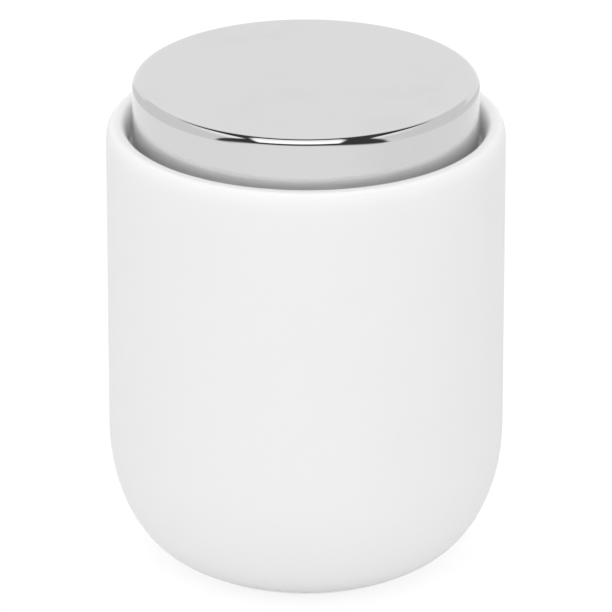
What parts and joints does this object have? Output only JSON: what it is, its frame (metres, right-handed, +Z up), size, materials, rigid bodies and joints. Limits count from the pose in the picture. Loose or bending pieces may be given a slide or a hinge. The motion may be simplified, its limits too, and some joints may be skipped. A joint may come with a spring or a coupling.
{
  "type": "lidded canister",
  "caption": "Round lidded canister with a rounded foot and a polished drop-in lid that lifts and turns, for cotton pads, swabs and other small bathroom things.",
  "frame": {"origin": "middle of the face the canister stands on, under the foot pad", "axes": "+Z up along the canister's axis; the canister is round, so X and Y are free, and the picture looks along +Y"},
  "size_m": [0.095, 0.095, 0.1208],
  "materials": {
    "satin_white": "satin",
    "foot_foam": "matte",
    "polished_steel": "polished",
    "liner_white": "satin",
    "seal_grey": "matte"
  },
  "bodies": {
    "canister": {"canister_body": "satin_white", "base_pad": "foot_foam"},
    "seal_ring": {"lid_seal": "seal_grey"},
    "lid": {"lid_cap": "polished_steel", "lid_liner": "liner_white"}
  },
  "joints": [
    {"name": "lid_lift", "type": "slide", "parent": "canister", "child": "seal_ring", "axis": [0, 0, 1], "range_m": [0, 0.06]},
    {"name": "lid_turn", "type": "hinge", "parent": "seal_ring", "child": "lid", "pos_m": [0, 0, 0.1029], "axis": [0, 0, 1], "continuous": true}
  ]
}
